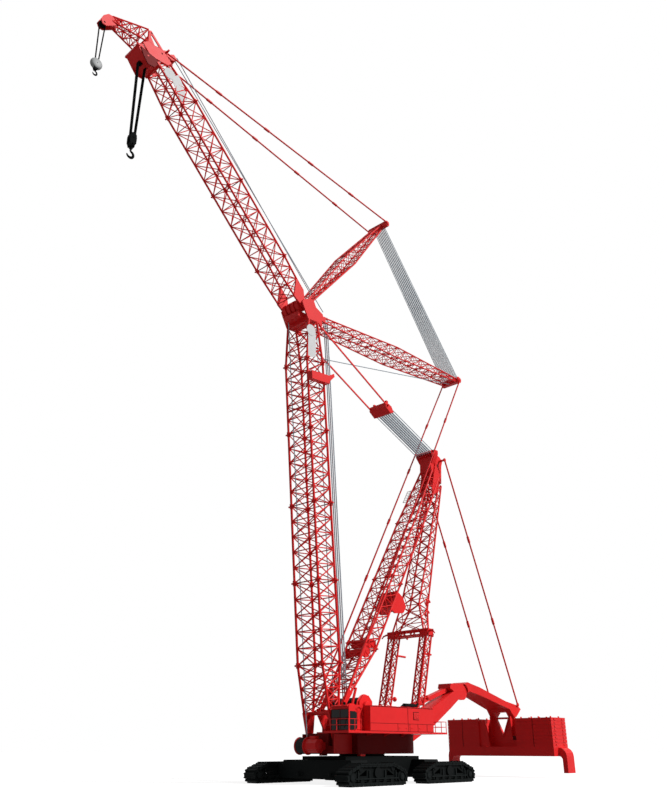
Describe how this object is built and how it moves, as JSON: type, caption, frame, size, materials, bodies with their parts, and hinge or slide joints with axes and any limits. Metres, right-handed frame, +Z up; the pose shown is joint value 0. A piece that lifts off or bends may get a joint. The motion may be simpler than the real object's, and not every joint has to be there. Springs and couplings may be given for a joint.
{
  "type": "crawler crane, 1:10 scale model",
  "caption": "Lattice-boom crawler crane with a luffing jib, back mast and hanging counterweight on four track pods, as a 1:10 scale model.",
  "frame": {"origin": "middle of the whole model's length and width, on the ground under the tracks", "axes": "+X forward along the jib, +Y to the machine's left, where the cab is, +Z up"},
  "size_m": [7.6122, 1.9, 8.5207],
  "materials": {
    "red_paint": "gloss enamel",
    "black_paint": "satin enamel",
    "track_steel": "worn cast steel",
    "tinted_glass": "dark tint",
    "seat_cover": "black vinyl",
    "hook_black": "satin enamel"
  },
  "bodies": {
    "undercarriage": {"carbody": "black_paint", "carbody_front_beam": "black_paint", "carbody_rear_beam": "black_paint", "slew_ring": "black_paint", "track_front_left": "track_steel", "track_front_right": "track_steel", "track_rear_left": "track_steel", "track_rear_right": "track_steel", "track_frame_front_left": "black_paint", "track_frame_front_right": "black_paint", "track_frame_rear_left": "black_paint", "track_frame_rear_right": "black_paint"},
    "superstructure": {"bed_frame": "red_paint", "deck": "red_paint", "machine_house": "red_paint", "far_machine_house": "red_paint", "front_rail": "red_paint", "rear_rails": "red_paint", "cab_shell": "red_paint", "cab_glass": "tinted_glass", "cab_seat": "seat_cover", "front_drum": "red_paint", "hoist_drums": "red_paint", "mast": "red_paint", "mast_foot": "red_paint", "mast_head": "red_paint", "backhitch": "red_paint", "rear_arm": "red_paint", "counterweight_straps": "red_paint"},
    "main_boom": {"boom_butt": "red_paint", "boom_insert_1": "red_paint", "boom_insert_2": "red_paint", "boom_insert_3": "red_paint", "boom_insert_4": "red_paint", "boom_top": "red_paint", "boom_head": "red_paint", "head_sheaves": "red_paint", "boom_platform": "red_paint", "boom_strut": "red_paint", "boom_backstays": "red_paint"},
    "hoist_pendants": {"boom_pendants": "red_paint"},
    "luffing_jib": {"jib_butt": "red_paint", "jib_insert_1": "red_paint", "jib_insert_2": "red_paint", "jib_top": "red_paint", "jib_head": "red_paint", "jib_tip": "red_paint"},
    "jib_strut_set": {"jib_strut": "red_paint", "jib_stays": "red_paint"},
    "main_falls": {"main_hook": "hook_black"},
    "tip_falls": {"tip_hook": "hook_black"},
    "cab_door_leaf": {"cab_door": "red_paint"},
    "counterweight": {"counterweight_beam": "red_paint", "counterweight_frame": "red_paint", "counterweight_tray": "red_paint", "counterweight_stack_outer_left": "red_paint", "counterweight_stack_inner_left": "red_paint", "counterweight_stack_outer_right": "red_paint", "counterweight_stack_inner_right": "red_paint"}
  },
  "joints": [
    {"name": "slew", "type": "hinge", "parent": "undercarriage", "child": "superstructure", "pos_m": [-0.61513, 0, 0.295], "axis": [0, 0, 1], "continuous": true},
    {"name": "main_boom_luff", "type": "hinge", "parent": "superstructure", "child": "main_boom", "pos_m": [0.02687, 0, 0.46], "axis": [0, 1, 0], "range_deg": [-0.5, 20]},
    {"name": "pendant_turn", "type": "hinge", "parent": "main_boom", "child": "hoist_pendants", "pos_m": [0.28494, 0, 5.41018], "axis": [0, 1, 0], "range_deg": [-5.65, 0.24]},
    {"name": "jib_luff", "type": "hinge", "parent": "main_boom", "child": "luffing_jib", "pos_m": [0.58528, 0, 5.62013], "axis": [0, 1, 0], "range_deg": [-20, 25]},
    {"name": "jib_strut_turn", "type": "hinge", "parent": "main_boom", "child": "jib_strut_set", "pos_m": [0.46, 0, 5.69471], "axis": [0, 1, 0], "range_deg": [-20, 25]},
    {"name": "main_hook_swing", "type": "hinge", "parent": "luffing_jib", "child": "main_falls", "pos_m": [3.18533, 0, 7.96068], "axis": [0, 1, 0], "range_deg": [-30, 21]},
    {"name": "tip_hook_swing", "type": "hinge", "parent": "luffing_jib", "child": "tip_falls", "pos_m": [3.74513, 0, 8.12061], "axis": [0, 1, 0], "range_deg": [-45, 21]},
    {"name": "cab_door_swing", "type": "hinge", "parent": "superstructure", "child": "cab_door_leaf", "pos_m": [-0.07563, 0.506, 0.6395], "axis": [0, 0, 1], "range_deg": [0, 95]},
    {"name": "counterweight_lift", "type": "hinge", "parent": "superstructure", "child": "counterweight", "pos_m": [-2.50513, 0, 1.035], "axis": [0, 1, 0], "range_deg": [-2.4, 6]}
  ],
  "couplings": [
    {"joint": "pendant_turn", "follows": "main_boom_luff", "ratio": -0.2777},
    {"joint": "jib_strut_turn", "follows": "jib_luff", "ratio": 1}
  ]
}
